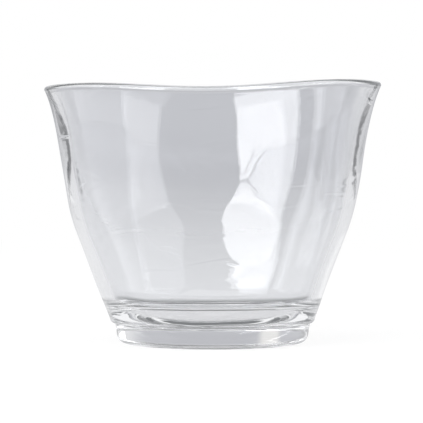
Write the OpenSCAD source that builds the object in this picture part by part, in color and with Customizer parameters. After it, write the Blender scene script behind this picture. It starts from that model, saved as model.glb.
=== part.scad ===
// A low, flared water glass with a hand-worked wavy wall: a thick-lipped bowl fused to a small tapered foot.
// Millimetres, +Z up. The origin is on the table, under the middle of the foot, and -Y faces the viewer.

/* [Bowl] */
// Width across the outside of the lip
rim_d = 93.4; // [86:0.2:104]
// Height of the bowl, from its seat on the foot to the top of the lip
bowl_h = 66.6; // [58:0.2:76]
// Width across the belly, where the straight taper turns into the flare
belly_d = 82; // [74:0.2:86]
// Height of the belly above the bowl's seat
belly_h = 34; // [26:0.5:42]
// How much the belly's knuckle is rounded
belly_round = 3.5; // [0.5:0.25:6]
// How late the wall flares above the belly, where 1 is a straight cone
flare = 1.4; // [1.1:0.1:2]
// How far the lip turns out beyond that flare
lip_curl = 1.2; // [0:0.1:2.5]
// Width across the heel, the lowest edge of the wall
heel_d = 57; // [56:0.2:66]
// Height of the heel above the bowl's seat
heel_h = 1.3; // [1.2:0.05:3]
// Radius of the heel's rounded edge
heel_edge_r = 1; // [0.3:0.05:1.15]
// Width across the bowl's flat seat on the foot
seat_d = 53.6; // [48:0.2:53.8]

/* [Thickness of the glass] */
// Thickness of the rounded lip
lip_t = 2.2; // [1.6:0.1:3]
// Thickness of the wall at the heel
heel_t = 2.9; // [2.4:0.1:6]
// Thickness of the bowl's floor
floor_t = 1.3; // [1:0.1:5]
// Width of the rounded inner corner, from the wall to the flat of the floor
corner_w = 16.5; // [5:0.5:18]
// Height of the rounded inner corner, from the floor to the plain wall
corner_h = 6.6; // [4:0.2:12]

/* [Foot] */
// Height of the foot
foot_h = 5.3; // [4:0.1:9]
// Width across the top of the foot
foot_top_d = 54.2; // [53.8:0.2:57]
// Width across the foot at the table, before its edge is rounded
foot_bottom_d = 52.4; // [51.5:0.1:54]
// Radius of the foot's lower edge
foot_edge_r = 2.2; // [0.5:0.1:2.6]
// Width of the flat ring that the foot stands on, outside its shallow hollow
ring_w = 2; // [1.5:0.1:6]
// Depth of the hollow under the foot
hollow_depth = 1.4; // [0.3:0.05:1.8]

/* [Hand-worked waves] */
// How far the lip rises towards the right
lip_lean = 0.65; // [0:0.05:1]
// How far the lip rises at its left and right and falls at its front and back
lip_saddle = 0.35; // [0:0.05:1]
// How far the lip swells up half-way between its front, sides and back
lip_swell = 0.55; // [0:0.05:1]
// Depth of the broad waves round the wall
wall_wave = 0.18; // [0:0.02:0.5]
// Share of the waves and dents that the inside of the wall follows
wave_inside = 1; // [0:0.1:1]

/* [Hidden] */

glass = [0.8, 0.83, 0.86, 0.55];
rim_r = rim_d / 2;
belly_r = belly_d / 2;
heel_r = heel_d / 2;
seat_r = seat_d / 2;
lip_r = lip_t / 2;
lip_h = bowl_h - lip_r;

// Mesh of the bowl: points round a ring, and rings on each stretch of the wall
round_steps = 72;
heel_steps = 3;
wall_steps = 18;
lip_steps = 6;
corner_steps = 8;
floor_steps = 2;
// Points on the foot's hollow and round its lower edge, and flats round its axis
hollow_steps = 8;
edge_steps = 60;
foot_sides = 180;

// Each broad wave: lobes round the wall, degrees that it turns per millimetre of height, and its start
waves = [[5, 1.5, 210], [9, 2.25, 285]];
// Each soft mark of hot working: its angle, height above the seat, width, rise and depth.
// A negative depth is a swell
dents = [
    [76, 26, 4.5, 5, 0.4],
    [87, 40, 5, 4, 0.3],
    [86, 9, 6, 6, 0.3],
    [48, 29, 5, 5, 0.3],
    [62, 13, 4.5, 5, 0.3],
    [110, 22, 5, 5, 0.15],
    [121, 45, 6, 8, -0.2],
    [30, 50, 5, 8, -0.2],
    [8, 29, 4, 5, 0.3],
    [-12, 17, 4, 5, 0.3],
    [-4, 48, 4, 6, 0.25],
    [183, 40, 4, 5, 0.3],
    [172, 22, 4, 5, 0.3],
    [196, 55, 4, 6, 0.25],
    [225, 33, 6, 8, 0.2],
    [255, 47, 6, 7, -0.15],
    [280, 25, 6, 7, 0.15],
    [310, 43, 6, 8, 0.2]];
// Share of the height over which the waves and dents grow from nothing at the seat
wave_rise = 0.15;
// How much of the lip's rise and fall is kept to the top of the wall
lip_reach = 3;
// How much of the lip's curl is kept to the top of the flare
curl_late = 7;

function smooth_min(a, b, k) =
    let (near = max(k - abs(a - b), 0) / k)
    min(a, b) - near * near * k / 4;

// Plain outside radius at a height above the seat: a straight taper, rounded into a flare at the belly
function taper_r(h) = heel_r + (belly_r - heel_r) * (h - heel_h) / (belly_h - heel_h);
function flare_r(h) =
    let (up = max(h - belly_h, 0) / (lip_h - belly_h))
    belly_r + (rim_r - lip_curl - belly_r) * pow(up, flare) + lip_curl * pow(up, curl_late);
function outside_r(h) = smooth_min(taper_r(h), flare_r(h), belly_round);

// Plain inside radius at a height above the seat, before the corner at the floor is rounded
function wall_t(h) = heel_t + (lip_t - heel_t) * h / lip_h;
function inside_r(h) = outside_r(h) - wall_t(h);

// Points of the section, from the middle of the seat, up the outside, over the lip and down to the floor.
// Each is [radius, height, share of the wall's waves and dents]
heel_low = atan2(heel_h - heel_edge_r, heel_r - seat_r);
heel_mid = [outside_r(heel_h) - heel_edge_r, heel_h];
heel_pts = [for (i = [0:heel_steps - 1])
    let (a = (heel_low - 90) * (1 - i / heel_steps))
    [heel_mid[0] + heel_edge_r * cos(a), heel_mid[1] + heel_edge_r * sin(a), 0]];
outer_pts = [for (i = [0:wall_steps - 1])
    let (h = heel_h + (lip_h - heel_h) * i / wall_steps)
    [outside_r(h), h, 1]];
lip_pts = [for (i = [0:lip_steps])
    let (a = 180 * i / lip_steps)
    [outside_r(lip_h) - lip_r + lip_r * cos(a), lip_h + lip_r * sin(a), 1]];
corner_top = floor_t + corner_h;
inner_pts = [for (i = [1:wall_steps - 1])
    let (h = lip_h + (corner_top - lip_h) * i / wall_steps)
    [inside_r(h), h, wave_inside + (1 - wave_inside) * pow(h / lip_h, lip_reach)]];
corner_pts = [for (i = [0:corner_steps])
    let (a = 90 * i / corner_steps, h = corner_top - corner_h * sin(a))
    [inside_r(h) - corner_w * (1 - cos(a)), h, wave_inside * (1 - i / corner_steps)]];
floor_edge = corner_pts[corner_steps];
floor_pts = [for (i = [1:floor_steps])
    [floor_edge[0] * (1 - i / (floor_steps + 1)), floor_t, 0]];
section = concat([[seat_r, 0, 0]], heel_pts, outer_pts, lip_pts, inner_pts, corner_pts, floor_pts);
rings = len(section);

// Waves and dents of the wall, and the wave of the lip, at an angle round the glass
function total(v) = v * [for (i = v) 1];
function half_turn(a) = a - 360 * round(a / 360);
function wave(a, h) = wall_wave * total([for (w = waves) sin(w[0] * a + w[1] * h + w[2])]);
function dent(a, h, r) = total([for (d = dents)
    let (across = half_turn(a - d[0]) * PI / 180 * r / d[2], along = (h - d[1]) / d[3])
    -d[4] * exp(-(across * across + along * along) / 2)]);
function worked(a, h, r) = min(h / (wave_rise * bowl_h), 1) * (wave(a, h) + dent(a, h, r));
function lip_line(a) = lip_lean * cos(a) + lip_saddle * cos(2 * a) - lip_swell * cos(4 * a);
function lip_rise(a, h) = lip_line(a) * pow(h / bowl_h, lip_reach);
function place(p, a) =
    let (r = p[0] + p[2] * worked(a, p[1], p[0]))
    [r * cos(a), r * sin(a), foot_h + p[1] + lip_rise(a, p[1])];

// The bowl: rings of points joined by triangles, closed by a point in the seat and one in the floor
module bowl() {
    seat_mid = rings * round_steps;
    floor_mid = seat_mid + 1;
    points = concat(
        [for (p = section, s = [0:round_steps - 1]) place(p, 360 * s / round_steps)],
        [[0, 0, foot_h], [0, 0, foot_h + floor_t]]);
    bands = [for (k = [0:rings - 2], s = [0:round_steps - 1])
        let (n = (s + 1) % round_steps, low = k * round_steps, high = low + round_steps)
        each [[low + s, high + s, high + n], [low + s, high + n, low + n]]];
    last = (rings - 1) * round_steps;
    caps = [for (s = [0:round_steps - 1])
        let (n = (s + 1) % round_steps)
        each [[seat_mid, s, n], [floor_mid, last + n, last + s]]];
    color(glass) polyhedron(points, concat(bands, caps), convexity = 4);
}

// The foot: a tapered disc with a rounded lower edge and a shallow domed hollow, so it stands on a ring
module foot() {
    top_r = foot_top_d / 2;
    bottom_r = foot_bottom_d / 2;
    lean = atan2(top_r - bottom_r, foot_h);
    edge_x = bottom_r - foot_edge_r * (1 - sin(lean)) / cos(lean);
    hollow_r = edge_x - ring_w;
    hollow_pts = [for (i = [0:hollow_steps])
        let (out = i / hollow_steps)
        [hollow_r * out, hollow_depth * (1 - out * out)]];
    color(glass) rotate_extrude($fn = foot_sides) {
        polygon(concat(hollow_pts, [
            [edge_x, 0],
            [edge_x, foot_edge_r],
            [edge_x + foot_edge_r * cos(lean), foot_edge_r - foot_edge_r * sin(lean)],
            [top_r, foot_h],
            [0, foot_h]]));
        translate([edge_x, foot_edge_r])
            circle(r = foot_edge_r, $fn = edge_steps);
    }
}

bowl();
foot();
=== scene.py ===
"""A low, flared water glass: a hand-worked bowl fused to a small tapered foot, on a pale studio table."""
import logging
import math
from abc import ABC, abstractmethod
from dataclasses import dataclass
from enum import Enum
from typing import Any, Mapping, Sequence, Union

import bpy
import numpy as np
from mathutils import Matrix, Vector


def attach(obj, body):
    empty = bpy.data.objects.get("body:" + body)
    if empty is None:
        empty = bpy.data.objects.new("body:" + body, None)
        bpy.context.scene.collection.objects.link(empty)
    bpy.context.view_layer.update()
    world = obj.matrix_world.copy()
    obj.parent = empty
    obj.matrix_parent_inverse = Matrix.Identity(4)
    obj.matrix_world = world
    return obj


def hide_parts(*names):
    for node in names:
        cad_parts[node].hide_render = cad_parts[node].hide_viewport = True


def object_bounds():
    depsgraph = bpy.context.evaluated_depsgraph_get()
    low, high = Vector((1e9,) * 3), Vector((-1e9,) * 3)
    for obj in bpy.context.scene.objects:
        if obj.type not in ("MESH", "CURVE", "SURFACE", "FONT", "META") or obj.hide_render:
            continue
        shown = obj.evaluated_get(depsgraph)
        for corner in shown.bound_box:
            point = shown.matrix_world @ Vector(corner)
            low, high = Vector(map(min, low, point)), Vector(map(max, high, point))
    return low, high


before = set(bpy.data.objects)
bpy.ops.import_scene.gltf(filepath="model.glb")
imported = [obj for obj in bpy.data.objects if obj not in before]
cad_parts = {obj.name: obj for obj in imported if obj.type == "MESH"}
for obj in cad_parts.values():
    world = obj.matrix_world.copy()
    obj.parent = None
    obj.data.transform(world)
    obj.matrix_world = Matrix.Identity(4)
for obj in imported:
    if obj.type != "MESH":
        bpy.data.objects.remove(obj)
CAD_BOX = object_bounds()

log = logging.getLogger("water_glass")

MM = 0.001
BODY = "root"

# Where the bowl sits on the foot: the seam's height above the table and the radius of the bowl's seat
SEAM_H = 5.3 * MM
SEAT_R = 26.8 * MM
# Watts that give a lamp of one square metre a radiance of 1
LAMP_WATTS = 4

Colour = tuple[float, float, float]
# A stretch of the bowl's section: radii, heights above the seat and shares of the wall's waves and dents
Stretch = list[np.ndarray]
Number = Union[int, float]
BLACK: Colour = (0.0, 0.0, 0.0)
WHITE: Colour = (1.0, 1.0, 1.0)


class GlassFace(Enum):
    """The two kinds of face on a piece of the glass, by material slot."""

    POLISHED = 0
    SEAM = 1


class RayKind(Enum):
    """The kinds of ray that the studio answers to, by the Light Path node's output."""

    CAMERA = "Is Camera Ray"
    GLOSSY = "Is Glossy Ray"
    TRANSMISSION = "Is Transmission Ray"


class Value:
    """A socket that carries a number and takes part in Python arithmetic."""

    def __init__(self, graph: "Graph", socket: bpy.types.NodeSocket) -> None:
        """Wraps a node's output socket."""
        self.graph = graph
        self.socket = socket

    def _maths(self, operation: str, *terms: Union["Value", Number]) -> "Value":
        """Adds a Math node for these terms and returns its result."""
        node = self.graph.node("ShaderNodeMath", {"operation": operation}, dict(enumerate(terms)))
        return self.graph.out(node)

    def __add__(self, other: Union["Value", Number]) -> "Value":
        """Sum."""
        return self._maths("ADD", self, other)

    def __radd__(self, other: Number) -> "Value":
        """Sum with the number first."""
        return self._maths("ADD", other, self)

    def __sub__(self, other: Union["Value", Number]) -> "Value":
        """Difference."""
        return self._maths("SUBTRACT", self, other)

    def __rsub__(self, other: Number) -> "Value":
        """Difference with the number first."""
        return self._maths("SUBTRACT", other, self)

    def __mul__(self, other: Union["Value", Number]) -> "Value":
        """Product."""
        return self._maths("MULTIPLY", self, other)

    def __rmul__(self, other: Number) -> "Value":
        """Product with the number first."""
        return self._maths("MULTIPLY", other, self)

    def __neg__(self) -> "Value":
        """The same size with the other sign."""
        return self._maths("MULTIPLY", self, -1)

    def __abs__(self) -> "Value":
        """Size without its sign."""
        return self._maths("ABSOLUTE", self)

    def larger(self, other: Union["Value", Number]) -> "Value":
        """The larger of the two."""
        return self._maths("MAXIMUM", self, other)

    def smooth_step(self, low: float, high: float) -> "Value":
        """Rises smoothly from 0 at low to 1 at high."""
        settings = {"interpolation_type": "SMOOTHSTEP"}
        limits = {"Value": self, "From Min": low, "From Max": high}
        return self.graph.out(self.graph.node("ShaderNodeMapRange", settings, limits))


class Graph:
    """A node tree that is built one node at a time."""

    # Numbers of the Mix node's sockets for colours, which share their names with its other sockets
    MIX_FACTOR = 0
    MIX_FIRST = 6
    MIX_SECOND = 7
    MIX_RESULT = 2

    def __init__(self, tree: bpy.types.NodeTree) -> None:
        """Empties the tree and keeps it."""
        self.tree = tree
        tree.nodes.clear()

    def node(
        self,
        kind: str,
        settings: Mapping[str, Any] | None = None,
        inputs: Mapping[Union[str, int], Any] | None = None,
    ) -> bpy.types.Node:
        """Adds a node.

        Args:
            kind: The node's type, such as ShaderNodeMath.
            settings: Attributes of the node, set before its sockets.
            inputs: Socket names or numbers, each with a plain value, a Value or another node's socket.

        Returns:
            The new node.
        """
        made = self.tree.nodes.new(kind)
        for name, value in (settings or {}).items():
            setattr(made, name, value)
        for name, value in (inputs or {}).items():
            source = value.socket if isinstance(value, Value) else value
            if isinstance(source, bpy.types.NodeSocket):
                self.tree.links.new(source, made.inputs[name])
            else:
                made.inputs[name].default_value = source
        return made

    def out(self, node: bpy.types.Node, name: Union[str, int] = 0) -> Value:
        """One of a node's outputs as a Value."""
        return Value(self, node.outputs[name])

    def rays(self, *kinds: RayKind) -> Value:
        """1 for rays of any of these kinds, and 0 for the rest."""
        path = self.node("ShaderNodeLightPath")
        total = self.out(path, kinds[0].value)
        for kind in kinds[1:]:
            total = total.larger(self.out(path, kind.value))
        return total

    def mix_colour(self, factor: Union[Value, float], first: Any, second: Any) -> bpy.types.NodeSocket:
        """Blends two colours, each a plain colour or a socket.

        Args:
            factor: 0 for the first colour, 1 for the second.
            first: The colour at 0.
            second: The colour at 1.

        Returns:
            The blended colour's socket.
        """
        sockets = {self.MIX_FACTOR: factor}
        for number, colour in ((self.MIX_FIRST, first), (self.MIX_SECOND, second)):
            sockets[number] = colour if isinstance(colour, bpy.types.NodeSocket) else (*colour, 1.0)
        return self.node("ShaderNodeMix", {"data_type": "RGBA"}, sockets).outputs[self.MIX_RESULT]

    def noise(self, place: bpy.types.NodeSocket, scale: float) -> Value:
        """Soft noise between 0 and 1, finer where the scale is larger."""
        return self.out(self.node("ShaderNodeTexNoise", None, {"Vector": place, "Scale": scale}))

    def axes(self, place: bpy.types.NodeSocket) -> tuple[Value, ...]:
        """The X, Y and Z of a place or a direction."""
        parts = self.node("ShaderNodeSeparateXYZ", None, {0: place})
        return tuple(self.out(parts, axis) for axis in "XYZ")

    def surface(self, shader: bpy.types.Node) -> None:
        """Sends a shader to the material's surface."""
        self.node("ShaderNodeOutputMaterial", None, {"Surface": shader.outputs[0]})


def fresh_material(name: str) -> tuple[bpy.types.Material, Graph]:
    """A new material and its empty node tree."""
    material = bpy.data.materials.new(name)
    material.use_nodes = True
    return material, Graph(material.node_tree)


@dataclass(frozen=True)
class Wave:
    """One wave that runs round the wall of the bowl.

    It turns by so many degrees of its phase per millimetre of height, from a start in degrees.
    """

    lobes: int
    turn: float
    start: float
    depth: float

    def offset(self, angle: np.ndarray, height: np.ndarray) -> np.ndarray:
        """How far the wave moves the wall.

        Args:
            angle: Angles round the glass, in radians.
            height: Heights above the bowl's seat, in metres.

        Returns:
            The offsets along the radius, in metres.
        """
        phase = math.radians(self.start) + np.radians(self.turn) * height / MM
        return self.depth * np.sin(self.lobes * angle + phase)


@dataclass(frozen=True)
class Dent:
    """A soft mark of hot working in the wall: pressed in, or swollen out where its depth is negative.

    Its angle is in degrees from the right, and its other sizes are in metres.
    """

    angle: float
    height: float
    width: float
    rise: float
    depth: float

    def offset(self, angle: np.ndarray, height: np.ndarray, radius: np.ndarray) -> np.ndarray:
        """How far the dent moves the wall.

        Args:
            angle: Angles round the glass, in radians.
            height: Heights above the bowl's seat, in metres.
            radius: The plain radius at those heights, in metres.

        Returns:
            The offsets along the radius, in metres.
        """
        turn = np.remainder(angle - math.radians(self.angle) + math.pi, 2 * math.pi) - math.pi
        across = turn * radius / self.width
        along = (height - self.height) / self.rise
        return -self.depth * np.exp(-(across**2 + along**2) / 2)


@dataclass(frozen=True)
class LipLine:
    """How the lip rises and falls round the glass."""

    lean: float = 0.65 * MM
    saddle: float = 0.35 * MM
    swell: float = 0.55 * MM
    saddle_lobes: int = 2
    swell_lobes: int = 4
    reach: float = 3.0

    def rise(self, angle: np.ndarray, share: np.ndarray) -> np.ndarray:
        """How far the lip's line lifts the wall.

        Args:
            angle: Angles round the glass, in radians.
            share: Heights as shares of the bowl's height.

        Returns:
            The lifts, in metres.
        """
        lean = self.lean * np.cos(angle)
        saddle = self.saddle * np.cos(self.saddle_lobes * angle)
        swell = self.swell * np.cos(self.swell_lobes * angle)
        return (lean + saddle - swell) * share**self.reach


@dataclass(frozen=True)
class ClearGlass:
    """Clear, fire-polished glass with a faint cool cast, a fine ripple and shallow chill lines."""

    name: str = "clear_glass"
    ior: float = 1.5
    roughness: float = 0.0
    # The cast, which changes a little from place to place
    tint: Colour = (0.935, 0.942, 0.955)
    tint_thin: Colour = (0.955, 0.96, 0.968)
    cloud_scale: float = 40.0
    # The ripple, flattened along the height
    ripple_scale: float = 65.0
    ripple_stretch: float = 4.0
    ripple_height: float = 0.01 * MM
    # The chill lines, which run where a flattened noise crosses a level
    chill_scale: float = 12.0
    chill_stretch: float = 5.0
    chill_lift: float = 17.0 * MM
    chill_level: float = 0.5
    chill_width: float = 0.02
    chill_share: float = 0.8
    # Light that stays trapped, and the heights and half-widths between which its level changes
    deepest: float = 5.0
    base_light: Colour = (0.2, 0.208, 0.215)
    side_light: Colour = (0.95, 0.955, 0.965)
    wall_from: float = 10.0 * MM
    wall_to: float = 14.0 * MM
    side_from: float = 19.0 * MM
    side_to: float = 25.0 * MM
    dim_from: float = 42.0 * MM
    dim_to: float = 54.0 * MM

    def build(self) -> bpy.types.Material:
        """Makes the material of the polished faces."""
        material, graph = fresh_material(self.name)
        place = graph.node("ShaderNodeTexCoord").outputs["Object"]
        cloud = graph.noise(place, self.cloud_scale)
        shader = graph.node(
            "ShaderNodeBsdfPrincipled",
            None,
            {
                "Base Color": graph.mix_colour(cloud, self.tint, self.tint_thin),
                "Roughness": self.roughness,
                "IOR": self.ior,
                "Transmission Weight": 1.0,
                "Emission Color": self._trapped_light(graph, place),
                "Emission Strength": 1.0,
                "Normal": self._relief(graph, place),
            },
        )
        graph.surface(shader)
        return material

    def _flattened(
        self, graph: Graph, place: bpy.types.NodeSocket, stretch: float, lift: float = 0.0
    ) -> bpy.types.NodeSocket:
        """Squeezes a pattern along the height.

        Args:
            graph: The material's nodes.
            place: Place on the glass.
            stretch: How much flatter the pattern gets.
            lift: How far the pattern moves up, in metres.

        Returns:
            The place to look the pattern up at.
        """
        moves = {"Location": (0, 0, -lift * stretch), "Scale": (1, 1, stretch)}
        return graph.node("ShaderNodeMapping", {"vector_type": "POINT"}, {0: place, **moves}).outputs[0]

    def _relief(self, graph: Graph, place: bpy.types.NodeSocket) -> bpy.types.NodeSocket:
        """The ripple and the chill lines.

        Args:
            graph: The material's nodes.
            place: Place on the glass.

        Returns:
            The bumped normal.
        """
        ripple = graph.noise(self._flattened(graph, place, self.ripple_stretch), self.ripple_scale)
        lifted = self._flattened(graph, place, self.chill_stretch, self.chill_lift)
        fold = graph.noise(lifted, self.chill_scale)
        chill = 1 - abs(fold - self.chill_level).smooth_step(0, self.chill_width)
        sockets = {"Height": ripple + self.chill_share * chill, "Distance": self.ripple_height}
        return graph.node("ShaderNodeBump", None, sockets).outputs[0]

    def _trapped_light(self, graph: Graph, place: bpy.types.NodeSocket) -> bpy.types.NodeSocket:
        """Light that is still inside the glass at the deepest reflection that is followed.

        The many further turns that it would take in real glass blur the room together, so it gets a level
        of its own: dim in the base and near the lip, and as bright as the table in the lower wall and at
        the sides.

        Args:
            graph: The material's nodes.
            place: Place on the glass.

        Returns:
            The light's colour.
        """
        across, _, height = graph.axes(place)
        aside = abs(across).smooth_step(self.side_from, self.side_to)
        above = height.smooth_step(self.wall_from, self.wall_to)
        under_lip = 1 - height.smooth_step(self.dim_from, self.dim_to)
        level = graph.mix_colour(above.larger(aside) * under_lip, self.base_light, self.side_light)
        depth = graph.out(graph.node("ShaderNodeLightPath"), "Glossy Depth")
        return graph.mix_colour(depth.smooth_step(self.deepest - 1, self.deepest), BLACK, level)


@dataclass(frozen=True)
class FusedSeam:
    """The seam between bowl and foot: fused glass, so light crosses it unbent and nothing shows."""

    name: str = "fused_seam"

    def build(self) -> bpy.types.Material:
        """Makes the material of the seam's faces."""
        material, graph = fresh_material(self.name)
        graph.surface(graph.node("ShaderNodeBsdfPrincipled", None, {"Alpha": 0.0}))
        return material


@dataclass(frozen=True)
class Flag:
    """A dark card beside the table, as the glass sees it: a soft spot that darkens the glass's edges."""

    x: float
    y: float
    radius: float
    end: float

    def clear(self, across: Value, along: Value) -> Value:
        """0 on the card and 1 away from it.

        Args:
            across: Place on the table from left to right, in metres.
            along: Place on the table from front to back, in metres.

        Returns:
            The share of the table that is left plain.
        """
        off_x, off_y = across - self.x, along - self.y
        return (off_x * off_x + off_y * off_y).smooth_step(self.radius**2, self.end**2)


@dataclass(frozen=True)
class TableFinish:
    """A matt white table that runs out into the room, with the glass's own shadow kept near it."""

    # Colours that the table fades to behind the glass and at the room's horizon
    middle: Colour
    far: Colour
    name: str = "table_white"
    colour: Colour = (0.8, 0.8, 0.8)
    # Painted light: the table near the glass is lighter, as if lit there by the lamps, and fades out to
    # the backdrop's grey
    near: Colour = (0.77, 0.772, 0.785)
    pool_fade_from: float = 0.1
    pool_fade_to: float = 1.3
    far_from: float = 0.8
    far_to: float = 1.5
    # The contact shadow: part of a ring, behind the foot
    contact: Colour = (0.15, 0.153, 0.158)
    ring_in: float = 25.0 * MM
    ring_full: float = 27.0 * MM
    ring_out: float = 36.0 * MM
    ring_end: float = 46.0 * MM
    shade_from: float = 5.0 * MM
    shade_to: float = 20.0 * MM
    flag: Colour = (0.12, 0.123, 0.13)
    flags: Sequence[Flag] = (Flag(-0.242, 0.39, 0.045, 0.09), Flag(0.236, 0.405, 0.04, 0.075))
    # Level of the plain white near the glass, and the share of it that lies over the lit table there
    near_white: float = 1.08
    near_share: float = 0.8
    share_from: float = 0.1
    share_to: float = 0.5

    def build(self) -> bpy.types.Material:
        """Makes the table's material."""
        material, graph = fresh_material(self.name)
        place = graph.node("ShaderNodeTexCoord").outputs["Object"]
        away = graph.out(graph.node("ShaderNodeVectorMath", {"operation": "LENGTH"}, {0: place}), "Value")
        run_out = away.smooth_step(self.share_from, self.share_to)
        through_glass = self._through_glass(graph, place, away)
        seen_colour = graph.mix_colour(graph.rays(RayKind.CAMERA), through_glass, WHITE)
        level = self.near_white + (1 - self.near_white) * run_out
        levelled = {0: seen_colour, "Scale": level}
        scaled = graph.node("ShaderNodeVectorMath", {"operation": "SCALE"}, levelled)
        glow = graph.node("ShaderNodeEmission", None, {"Color": scaled.outputs[0]})
        matt = graph.node("ShaderNodeBsdfDiffuse", None, {"Color": (*self.colour, 1.0)})
        seen = graph.rays(RayKind.CAMERA, RayKind.GLOSSY, RayKind.TRANSMISSION)
        share = seen * (self.near_share + (1 - self.near_share) * run_out)
        layers = {0: share, 1: matt.outputs[0], 2: glow.outputs[0]}
        graph.surface(graph.node("ShaderNodeMixShader", None, layers))
        return material

    def _through_glass(
        self, graph: Graph, place: bpy.types.NodeSocket, away: Value
    ) -> bpy.types.NodeSocket:
        """The table as the glass shows it, lighter near the foot by a painted pool of the lamps' light.

        Args:
            graph: The material's nodes.
            place: Place on the table.
            away: Distance from the middle of the foot, in metres.

        Returns:
            The table's colour.
        """
        across, along, _ = graph.axes(place)
        # Painted light: a pool of lamp light round the glass, fading from the near colour to the
        # backdrop's grey
        pool_fade = away.smooth_step(self.pool_fade_from, self.pool_fade_to)
        to_middle = graph.mix_colour(pool_fade, self.near, self.middle)
        to_far = graph.mix_colour(away.smooth_step(self.far_from, self.far_to), to_middle, self.far)
        outside = away.smooth_step(self.ring_in, self.ring_full)
        inside = 1 - away.smooth_step(self.ring_out, self.ring_end)
        behind = along.smooth_step(self.shade_from, self.shade_to)
        colour = graph.mix_colour(outside * inside * behind, to_far, self.contact)
        for flag in self.flags:
            colour = graph.mix_colour(flag.clear(across, along), self.flag, colour)
        return colour


@dataclass
class Revolved(ABC):
    """A body turned from a section, as rings of points with a cap on the first and maybe on the last."""

    name: str
    node: str
    around: int = 288
    first_cap: GlassFace = GlassFace.POLISHED
    sharp_edge: float = 28.0

    @abstractmethod
    def rings(self) -> np.ndarray:
        """Points of every ring, as an array of rings by points by 3."""

    @abstractmethod
    def first(self) -> Vector:
        """The middle of the cap on the first ring."""

    @abstractmethod
    def last(self) -> Vector | None:
        """The middle of the cap on the last ring, or None where that ring is open to the piece above."""

    def angles(self) -> np.ndarray:
        """Angles of a ring's points, in radians."""
        return np.arange(self.around) * (2 * math.pi / self.around)

    def build(self, finishes: Mapping[GlassFace, bpy.types.Material]) -> bpy.types.Object:
        """Makes the piece, dresses it and lets it stand for its node.

        Args:
            finishes: The material of each kind of face.

        Returns:
            The new object.
        """
        grid = self.rings()
        index = np.arange(grid[..., 0].size).reshape(grid.shape[:2])
        beside = np.roll(index, -1, axis=1)
        points = [*grid.reshape(-1, 3).tolist(), self.first()]
        bands = np.stack([index[:-1], beside[:-1], beside[1:], index[1:]], axis=-1).reshape(-1, 4)
        first_fan = [(index.size, int(b), int(a)) for a, b in zip(index[0], beside[0])]
        faces = first_fan + bands.tolist()
        last = self.last()
        if last is not None:
            faces += [(len(points), int(a), int(b)) for a, b in zip(index[-1], beside[-1])]
            points.append(last)
        mesh = bpy.data.meshes.new(self.name)
        mesh.from_pydata(points, [], faces)
        for face in GlassFace:
            mesh.materials.append(finishes[face])
        slots = np.full(len(faces), GlassFace.POLISHED.value, dtype=np.int32)
        slots[: self.around] = self.first_cap.value
        mesh.polygons.foreach_set("material_index", slots)
        mesh.shade_smooth()
        mesh.set_sharp_from_angle(angle=math.radians(self.sharp_edge))
        mesh.update()
        piece = bpy.data.objects.new(self.name, mesh)
        bpy.context.scene.collection.objects.link(piece)
        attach(piece, BODY)
        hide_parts(self.node)
        return piece


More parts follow.
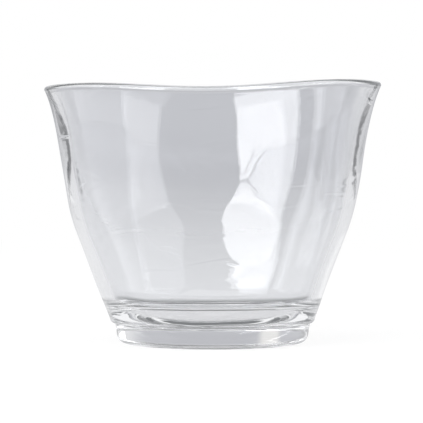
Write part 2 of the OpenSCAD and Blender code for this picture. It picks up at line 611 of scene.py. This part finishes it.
@dataclass
class Bowl(Revolved):
    """The drinking bowl: a straight taper, a soft knuckle at the belly, a flare and a rounded lip."""

    name: str = "bowl_glass"
    node: str = "bowl"
    first_cap: GlassFace = GlassFace.SEAM
    base_z: float = SEAM_H
    height: float = 66.6 * MM
    rim_r: float = 46.7 * MM
    belly_r: float = 41.0 * MM
    belly_h: float = 34.0 * MM
    belly_round: float = 3.5 * MM
    flare: float = 1.4
    lip_curl: float = 1.2 * MM
    curl_late: float = 7.0
    heel_r: float = 28.5 * MM
    heel_h: float = 1.3 * MM
    heel_edge_r: float = 1.0 * MM
    seat_r: float = SEAT_R
    lip_t: float = 2.2 * MM
    heel_t: float = 2.9 * MM
    floor_t: float = 1.3 * MM
    corner_w: float = 16.5 * MM
    corner_h: float = 6.6 * MM
    lip_line: LipLine = LipLine()
    wave_rise: float = 0.15
    waves: Sequence[Wave] = (Wave(5, 1.5, 210, 0.18 * MM), Wave(9, 2.25, 285, 0.18 * MM))
    dents: Sequence[Dent] = (
        Dent(76, 26 * MM, 4.5 * MM, 5 * MM, 0.4 * MM),
        Dent(87, 40 * MM, 5 * MM, 4 * MM, 0.3 * MM),
        Dent(86, 9 * MM, 6 * MM, 6 * MM, 0.3 * MM),
        Dent(48, 29 * MM, 5 * MM, 5 * MM, 0.3 * MM),
        Dent(62, 13 * MM, 4.5 * MM, 5 * MM, 0.3 * MM),
        Dent(110, 22 * MM, 5 * MM, 5 * MM, 0.15 * MM),
        Dent(121, 45 * MM, 6 * MM, 8 * MM, -0.2 * MM),
        Dent(30, 50 * MM, 5 * MM, 8 * MM, -0.2 * MM),
        Dent(8, 29 * MM, 4 * MM, 5 * MM, 0.3 * MM),
        Dent(-12, 17 * MM, 4 * MM, 5 * MM, 0.3 * MM),
        Dent(-4, 48 * MM, 4 * MM, 6 * MM, 0.25 * MM),
        Dent(183, 40 * MM, 4 * MM, 5 * MM, 0.3 * MM),
        Dent(172, 22 * MM, 4 * MM, 5 * MM, 0.3 * MM),
        Dent(196, 55 * MM, 4 * MM, 6 * MM, 0.25 * MM),
        Dent(225, 33 * MM, 6 * MM, 8 * MM, 0.2 * MM),
        Dent(255, 47 * MM, 6 * MM, 7 * MM, -0.15 * MM),
        Dent(280, 25 * MM, 6 * MM, 7 * MM, 0.15 * MM),
        Dent(310, 43 * MM, 6 * MM, 8 * MM, 0.2 * MM),
    )
    heel_steps: int = 10
    wall_steps: int = 120
    lip_steps: int = 18
    corner_steps: int = 24
    floor_steps: int = 10

    @property
    def lip_r(self) -> float:
        """Radius of the lip's round."""
        return self.lip_t / 2

    @property
    def lip_h(self) -> float:
        """Height of the middle of the lip's round above the seat."""
        return self.height - self.lip_r

    @property
    def corner_top(self) -> float:
        """Height above the seat at which the rounded inner corner starts."""
        return self.floor_t + self.corner_h

    def outside_r(self, h: np.ndarray) -> np.ndarray:
        """Plain outside radius at heights above the seat."""
        rise = (h - self.heel_h) / (self.belly_h - self.heel_h)
        taper = self.heel_r + (self.belly_r - self.heel_r) * rise
        up = np.maximum(h - self.belly_h, 0) / (self.lip_h - self.belly_h)
        spread = self.rim_r - self.lip_curl - self.belly_r
        flared = self.belly_r + spread * up**self.flare + self.lip_curl * up**self.curl_late
        near = np.maximum(self.belly_round - np.abs(taper - flared), 0) / self.belly_round
        return np.minimum(taper, flared) - near**2 * self.belly_round / 4

    def inside_r(self, h: np.ndarray) -> np.ndarray:
        """Plain inside radius at heights above the seat, before the corner is rounded."""
        return self.outside_r(h) - (self.heel_t + (self.lip_t - self.heel_t) * h / self.lip_h)

    def _heel(self) -> Stretch:
        """The heel's rounded edge, from the seat to the wall."""
        low = math.atan2(self.heel_h - self.heel_edge_r, self.heel_r - self.seat_r) - math.pi / 2
        turn = low * (1 - np.arange(self.heel_steps) / self.heel_steps)
        middle = float(self.outside_r(np.array(self.heel_h))) - self.heel_edge_r
        radius = middle + self.heel_edge_r * np.cos(turn)
        return [radius, self.heel_h + self.heel_edge_r * np.sin(turn), np.zeros_like(turn)]

    def _outer_wall(self) -> Stretch:
        """The outside of the wall, from the heel up to the lip."""
        up = np.linspace(self.heel_h, self.lip_h, self.wall_steps, endpoint=False)
        return [self.outside_r(up), up, np.ones_like(up)]

    def _lip(self) -> Stretch:
        """The lip's round, from the outside over to the inside."""
        over = np.linspace(0, math.pi, self.lip_steps + 1)
        radius = self.rim_r - self.lip_r + self.lip_r * np.cos(over)
        return [radius, self.lip_h + self.lip_r * np.sin(over), np.ones_like(over)]

    def _inner_wall(self) -> Stretch:
        """The inside of the wall, from the lip down to the corner."""
        down = np.linspace(self.lip_h, self.corner_top, self.wall_steps, endpoint=False)[1:]
        return [self.inside_r(down), down, np.ones_like(down)]

    def _corner(self) -> Stretch:
        """The rounded inner corner, along which the waves fade out."""
        bend = np.linspace(0, math.pi / 2, self.corner_steps + 1)
        sunk = self.corner_top - self.corner_h * np.sin(bend)
        radius = self.inside_r(sunk) - self.corner_w * (1 - np.cos(bend))
        return [radius, sunk, 1 - bend / bend[-1]]

    def _floor(self, edge_r: float) -> Stretch:
        """The flat of the floor, from its edge in towards the middle."""
        inward = np.linspace(edge_r, 0, self.floor_steps, endpoint=False)[1:]
        return [inward, np.full_like(inward, self.floor_t), np.zeros_like(inward)]

    def section(self) -> np.ndarray:
        """The section's points from the seat's edge, up the outside, over the lip and down to the floor.

        Returns:
            One row per point: radius, height above the seat and share of the wall's waves and dents.
        """
        seat = [[self.seat_r], [0.0], [0.0]]
        corner = self._corner()
        floor = self._floor(corner[0][-1])
        parts = (seat, self._heel(), self._outer_wall(), self._lip(), self._inner_wall(), corner, floor)
        return np.concatenate([np.array(part) for part in parts], axis=1).T

    def rings(self) -> np.ndarray:
        """Points of every ring, with the waves of the wall and the rise of the lip."""
        radius, height, share = (column[:, None] for column in self.section().T)
        angle = self.angles()[None, :]
        grow = np.minimum(height / (self.wave_rise * self.height), 1)
        waved = sum(wave.offset(angle, height) for wave in self.waves)
        dented = sum(dent.offset(angle, height, radius) for dent in self.dents)
        r = radius + share * grow * (waved + dented)
        z = self.base_z + height + self.lip_line.rise(angle, height / self.height)
        return np.stack([r * np.cos(angle), r * np.sin(angle), z], axis=-1)

    def first(self) -> Vector:
        """The middle of the seat."""
        return Vector((0, 0, self.base_z))

    def last(self) -> Vector:
        """The middle of the floor."""
        return Vector((0, 0, self.base_z + self.floor_t))


@dataclass
class Foot(Revolved):
    """The foot: a tapered disc with a rounded lower edge and a shallow hollow underneath."""

    name: str = "foot_glass"
    node: str = "foot"
    height: float = SEAM_H
    top_r: float = 27.1 * MM
    bottom_r: float = 26.2 * MM
    edge_r: float = 2.2 * MM
    ring_w: float = 2.0 * MM
    hollow_depth: float = 1.4 * MM
    seat_r: float = SEAT_R
    seam_gap: float = 0.005 * MM
    flat_steps: int = 12
    edge_steps: int = 14
    side_steps: int = 12

    def section(self) -> np.ndarray:
        """The section's points from the hollow, out over the ring, up the side and in to the seam's edge.

        Returns:
            One row per point: radius and height above the table.
        """
        lean = math.atan2(self.top_r - self.bottom_r, self.height)
        edge_x = self.bottom_r - self.edge_r * (1 - math.sin(lean)) / math.cos(lean)
        hollow_r = edge_x - self.ring_w
        hollow = np.linspace(0, hollow_r, self.flat_steps, endpoint=False)[1:]
        hollow_pts = [hollow, self.hollow_depth * (1 - (hollow / hollow_r) ** 2)]
        ring = np.linspace(hollow_r, edge_x, self.flat_steps, endpoint=False)
        ring_pts = [ring, np.zeros_like(ring)]
        turn = np.linspace(-math.pi / 2, -lean, self.edge_steps + 1)
        edge_pts = [edge_x + self.edge_r * np.cos(turn), self.edge_r + self.edge_r * np.sin(turn)]
        rise = np.linspace(0, 1, self.side_steps + 1)[1:-1]
        top = self.height - self.seam_gap
        side_pts = [
            edge_pts[0][-1] + (self.top_r - edge_pts[0][-1]) * rise,
            edge_pts[1][-1] + (top - edge_pts[1][-1]) * rise,
        ]
        top_pts = [[self.top_r, self.seat_r], [top, top]]
        parts = (hollow_pts, ring_pts, edge_pts, side_pts, top_pts)
        return np.concatenate([np.array(part) for part in parts], axis=1).T

    def rings(self) -> np.ndarray:
        """Points of every ring."""
        radius, height = (column[:, None] for column in self.section().T)
        angle = self.angles()[None, :]
        return np.stack([radius * np.cos(angle), radius * np.sin(angle), height + 0 * angle], axis=-1)

    def first(self) -> Vector:
        """The middle of the hollow."""
        return Vector((0, 0, self.hollow_depth))

    def last(self) -> None:
        """The foot has no face of its own under the bowl's seat, where the two are one glass."""
        return None


@dataclass(frozen=True)
class Softbox:
    """A rectangular studio lamp that faces the glass.

    Its azimuth is in degrees from the viewer, positive to the right, and its elevation is in degrees.
    """

    name: str
    azimuth: float
    elevation: float
    distance: float
    width: float
    length: float
    radiance: float

    def build(self, target: Vector) -> bpy.types.Object:
        """Hangs the lamp.

        Args:
            target: The point that it faces.

        Returns:
            The lamp's object.
        """
        data = bpy.data.lights.new(self.name, "AREA")
        data.shape = "RECTANGLE"
        data.size = self.width
        data.size_y = self.length
        data.energy = LAMP_WATTS * self.radiance * self.width * self.length
        lamp = bpy.data.objects.new(self.name, data)
        turn, lift = math.radians(self.azimuth), math.radians(self.elevation)
        aim = Vector((math.sin(turn) * math.cos(lift), -math.cos(turn) * math.cos(lift), math.sin(lift)))
        lamp.location = target + aim * self.distance
        lamp.rotation_euler = aim.to_track_quat("Z", "Y").to_euler()
        bpy.context.scene.collection.objects.link(lamp)
        return lamp


@dataclass
class Studio:
    """The pale table, the room round it and the lamps."""

    table_r: float = 1.5
    table_steps: int = 96
    table_gap: float = 0.02 * MM
    room: Colour = (0.28, 0.285, 0.29)
    # The room's parts are set by the direction in which the glass sees them, as a vector of length 1.
    # The backdrop: behind the glass, up to a low height, with a paler band along the horizon
    backdrop: Colour = (0.535, 0.538, 0.566)
    backdrop_top: float = 0.16
    room_above: float = 0.26
    room_beside: float = 0.3
    backdrop_side: float = 0.6
    horizon: Colour = (0.61, 0.614, 0.642)
    horizon_from: float = 0.02
    horizon_to: float = 0.06
    # The pale right side, and the height to which it and the card reach
    pale: Colour = (0.8, 0.8, 0.81)
    pale_from: float = 0.5
    pale_to: float = 0.8
    side_top: float = 0.3
    side_end: float = 0.5
    # The card at the left of the backdrop
    card: Colour = (0.84, 0.83, 0.81)
    card_near: float = 0.3
    card_far: float = 0.48
    card_low: float = 0.03
    card_soft: float = 0.08
    # The pale ceiling at both sides
    ceiling: Colour = (0.85, 0.85, 0.86)
    ceiling_from: float = 0.2
    ceiling_to: float = 0.35
    ceiling_low: float = 0.45
    ceiling_high: float = 0.6
    lamps: Sequence[Softbox] = (
        Softbox("left_softbox", -47.5, 12.5, 1.3, 0.92, 0.82, 3.3),
        Softbox("left_softbox_core", -42.5, 12.5, 1.28, 0.66, 0.81, 1.5),
        Softbox("left_softbox_top", -47.5, 35.5, 1.3, 0.92, 0.25, 3.6),
        Softbox("left_strip", -91, 18, 1.45, 0.26, 1.2, 1.2),
        Softbox("left_wash", -108, 26, 1.5, 1.2, 0.72, 0.7),
        Softbox("right_fill", 63, 13, 1.5, 1.1, 0.9, 1.6),
        Softbox("right_fill_top", 63, 37, 1.5, 1.1, 0.4, 0.8),
        Softbox("right_wash", 103, 18, 1.5, 1.2, 1.2, 0.7),
        Softbox("top_softbox", 0, 80, 1.2, 0.9, 0.9, 1.2),
    )

    def build(self, target: Vector) -> None:
        """Builds the table, the world and the lamps.

        Args:
            target: The point that the lamps face.
        """
        self._table()
        self._room()
        for lamp in self.lamps:
            lamp.build(target)

    def _table(self) -> None:
        """A round table top just under the foot's ring."""
        turn = np.arange(self.table_steps) * (2 * math.pi / self.table_steps)
        level = np.full_like(turn, -self.table_gap)
        rim = np.stack([np.cos(turn) * self.table_r, np.sin(turn) * self.table_r, level], axis=-1)
        mesh = bpy.data.meshes.new("table")
        mesh.from_pydata(rim.tolist(), [], [tuple(range(self.table_steps))])
        mesh.materials.append(TableFinish(self.backdrop, self.horizon).build())
        table = bpy.data.objects.new("table", mesh)
        bpy.context.scene.collection.objects.link(table)

    def _room(self) -> None:
        """The room: plain white to the camera, and to the glass a backdrop, a card and pale sides."""
        world = bpy.data.worlds.new("studio_room")
        bpy.context.scene.world = world
        world.use_nodes = True
        graph = Graph(world.node_tree)
        right, back, up = graph.axes(graph.node("ShaderNodeTexCoord").outputs["Generated"])
        left = -right
        low = 1 - up.smooth_step(self.backdrop_top, self.room_above)
        behind = back.smooth_step(self.room_beside, self.backdrop_side)
        off_horizon = abs(up).smooth_step(self.horizon_from, self.horizon_to)
        below_side_top = 1 - up.smooth_step(self.side_top, self.side_end)
        to_right = right.smooth_step(self.pale_from, self.pale_to)
        rear = back.smooth_step(0, self.card_soft)
        from_near = left.smooth_step(self.card_near, self.card_near + self.card_soft)
        to_far = 1 - left.smooth_step(self.card_far, self.card_far + self.card_soft)
        from_low = up.smooth_step(self.card_low, self.card_low + self.card_soft)
        to_side = abs(right).smooth_step(self.ceiling_from, self.ceiling_to)
        overhead = up.smooth_step(self.ceiling_low, self.ceiling_high)
        parts = (
            (low * behind, graph.mix_colour(off_horizon, self.horizon, self.backdrop)),
            (below_side_top * to_right, self.pale),
            (below_side_top * from_near * to_far * from_low * rear, self.card),
            (to_side * rear * overhead, self.ceiling),
        )
        colour = self.room
        for share, part in parts:
            colour = graph.mix_colour(share, colour, part)
        seen = graph.mix_colour(graph.rays(RayKind.CAMERA), colour, WHITE)
        background = graph.node("ShaderNodeBackground", None, {"Color": seen})
        graph.node("ShaderNodeOutputWorld", None, {"Surface": background.outputs[0]})


@dataclass(frozen=True)
class PhotoCamera:
    """The camera at the photograph's place: a long lens, a little above the lip."""

    distance: float = 0.82
    eye_z: float = 73 * MM
    aim_z: float = 36.25 * MM
    side: float = -0.3 * MM
    picture: int = 423
    pixels_per_mm: float = 3.6
    sensor: float = 36.0
    clip_near: float = 0.05
    clip_far: float = 50.0

    def build(self) -> bpy.types.Object:
        """Makes the camera and sets it as the scene's."""
        data = bpy.data.cameras.new("photo_camera")
        reach = math.hypot(self.distance, self.eye_z - self.aim_z)
        data.sensor_width = self.sensor
        data.lens = self.sensor * self.pixels_per_mm / MM * reach / self.picture
        data.clip_start = self.clip_near
        data.clip_end = self.clip_far
        camera = bpy.data.objects.new("photo_camera", data)
        camera.location = (self.side, -self.distance, self.eye_z)
        aim = Vector((self.side, 0, self.aim_z)) - Vector(camera.location)
        camera.rotation_euler = aim.to_track_quat("-Z", "Y").to_euler()
        bpy.context.scene.collection.objects.link(camera)
        bpy.context.scene.camera = camera
        return camera


def main() -> None:
    """Builds the glass, the studio and the camera."""
    logging.basicConfig(level=logging.INFO, format="%(name)s: %(message)s")
    bpy.context.scene.view_settings.view_transform = "Standard"
    finishes = {GlassFace.POLISHED: ClearGlass().build(), GlassFace.SEAM: FusedSeam().build()}
    for piece in (Bowl(), Foot()):
        made = piece.build(finishes)
        log.info("%s: %d faces", made.name, len(made.data.polygons))
    low, high = CAD_BOX
    Studio().build((low + high) / 2)
    PhotoCamera().build()


if __name__ == "__main__":
    main()
